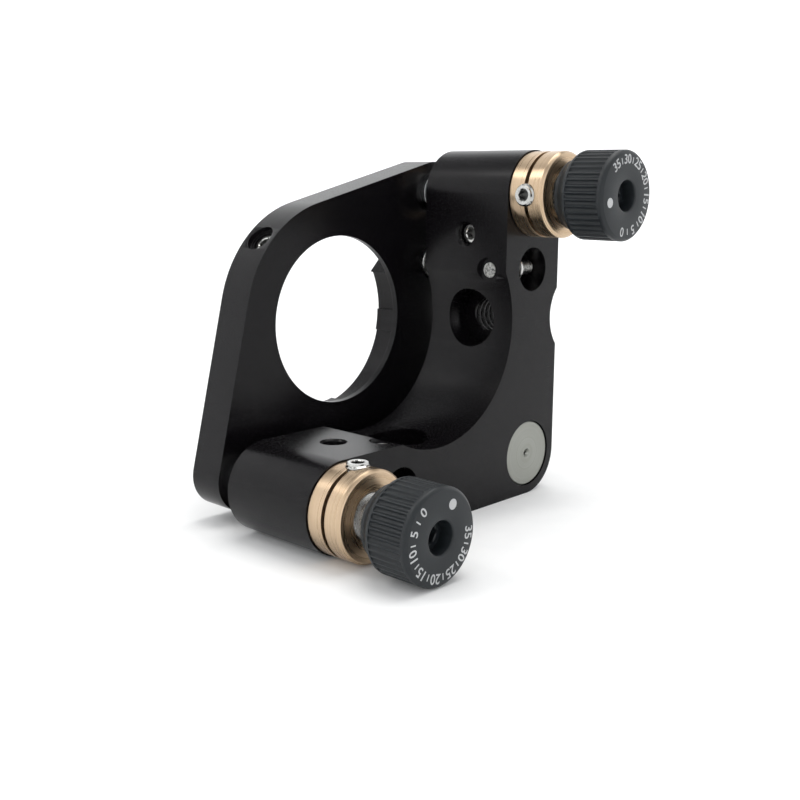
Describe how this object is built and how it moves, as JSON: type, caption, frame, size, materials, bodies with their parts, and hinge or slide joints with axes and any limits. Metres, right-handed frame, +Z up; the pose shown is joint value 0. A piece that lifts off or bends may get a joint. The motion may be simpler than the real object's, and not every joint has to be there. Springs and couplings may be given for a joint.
{
  "type": "kinematic mirror mount",
  "caption": "Two-plate kinematic mirror mount with an L-shaped back plate, a tilting optic plate, fine adjuster knobs with locks and a round bore for a one inch optic.",
  "frame": {"origin": "axis of the optic bore, at the lip that the optic rests on", "axes": "+Y towards the optic side, out of the bore's mouth; +Z up; +X to the right when seen from the knobs"},
  "size_m": [0.049, 0.0403, 0.049],
  "materials": {
    "black_anodised": "satin black anodised aluminium",
    "knob_anodised": "satin blue-black anodised, straight flutes",
    "brass": "turned phosphor bronze, satin",
    "bright_steel": "bright stainless steel",
    "hard_steel": "polished hardened steel",
    "plug_steel": "satin turned steel",
    "nylon": "white nylon"
  },
  "bodies": {
    "base": {"back_plate": "black_anodised", "bushing_top": "brass", "bushing_bottom": "brass", "bushing_screw_top": "bright_steel", "bushing_screw_bottom": "bright_steel", "pivot_plug": "plug_steel", "rear_pin_top": "bright_steel", "rear_pin_bottom": "bright_steel", "spring_top": "bright_steel", "spring_bottom": "bright_steel"},
    "tip_top": {"tip_ball_top": "hard_steel"},
    "adjuster_top": {"adjuster_screw_top": "bright_steel", "knob_top": "knob_anodised"},
    "tip_bottom": {"tip_ball_bottom": "hard_steel"},
    "adjuster_bottom": {"adjuster_screw_bottom": "bright_steel", "knob_bottom": "knob_anodised"},
    "lock_top": {"lock_screw_top": "bright_steel"},
    "lock_bottom": {"lock_screw_bottom": "bright_steel"},
    "pivot": {"pivot_ball": "hard_steel"},
    "front": {"front_plate": "black_anodised", "cone_seat": "hard_steel", "groove_seat": "hard_steel", "flat_seat": "hard_steel", "front_pin_top": "bright_steel", "front_pin_bottom": "bright_steel"},
    "optic_tip": {"optic_screw_tip": "nylon"},
    "optic_screw": {"optic_set_screw": "bright_steel"}
  },
  "joints": [
    {"name": "top_adjuster_travel", "type": "slide", "parent": "base", "child": "tip_top", "axis": [0, 1, 0], "range_m": [-0.00225, 0.001]},
    {"name": "top_knob_turn", "type": "hinge", "parent": "tip_top", "child": "adjuster_top", "pos_m": [0.0196, -0.00285, 0.0174], "axis": [0, 1, 0], "range_deg": [-3243, 1443]},
    {"name": "bottom_adjuster_travel", "type": "slide", "parent": "base", "child": "tip_bottom", "axis": [0, 1, 0], "range_m": [-0.00225, 0.002]},
    {"name": "bottom_knob_turn", "type": "hinge", "parent": "tip_bottom", "child": "adjuster_bottom", "pos_m": [-0.0174, -0.00285, -0.0196], "axis": [0, 1, 0], "range_deg": [-3243, 2883]},
    {"name": "front_pitch", "type": "hinge", "parent": "base", "child": "pivot", "pos_m": [0.0196, -0.00285, -0.0196], "axis": [-1, 0, 0], "range_deg": [-3.49, 1.56], "deforming": ["spring_top"]},
    {"name": "front_yaw", "type": "hinge", "parent": "pivot", "child": "front", "pos_m": [0.0196, -0.00285, -0.0196], "axis": [0, 0, -1], "range_deg": [-3.49, 3.11], "deforming": ["spring_bottom"]},
    {"name": "top_lock_turn", "type": "hinge", "parent": "base", "child": "lock_top", "pos_m": [0.0136, -0.0223, 0.0174], "axis": [1, 0, 0], "range_deg": [-90, 90]},
    {"name": "bottom_lock_turn", "type": "hinge", "parent": "base", "child": "lock_bottom", "pos_m": [-0.0174, -0.0223, -0.0136], "axis": [0, 0, -1], "range_deg": [-90, 90]},
    {"name": "optic_clamp_travel", "type": "slide", "parent": "front", "child": "optic_tip", "axis": [0.7071, 0, -0.7071], "range_m": [0, 0.0004]},
    {"name": "optic_screw_turn", "type": "hinge", "parent": "optic_tip", "child": "optic_screw", "pos_m": [-0.01075, 0.0019, 0.01075], "axis": [0.7071, 0, -0.7071], "range_deg": [-1, 289]}
  ],
  "couplings": [
    {"joint": "top_knob_turn", "follows": "top_adjuster_travel", "rad_per_m": 25133},
    {"joint": "front_pitch", "follows": "top_adjuster_travel", "rad_per_m": 27.027},
    {"joint": "bottom_knob_turn", "follows": "bottom_adjuster_travel", "rad_per_m": 25133},
    {"joint": "front_yaw", "follows": "bottom_adjuster_travel", "rad_per_m": 27.027},
    {"joint": "optic_screw_turn", "follows": "optic_clamp_travel", "rad_per_m": 12566}
  ]
}
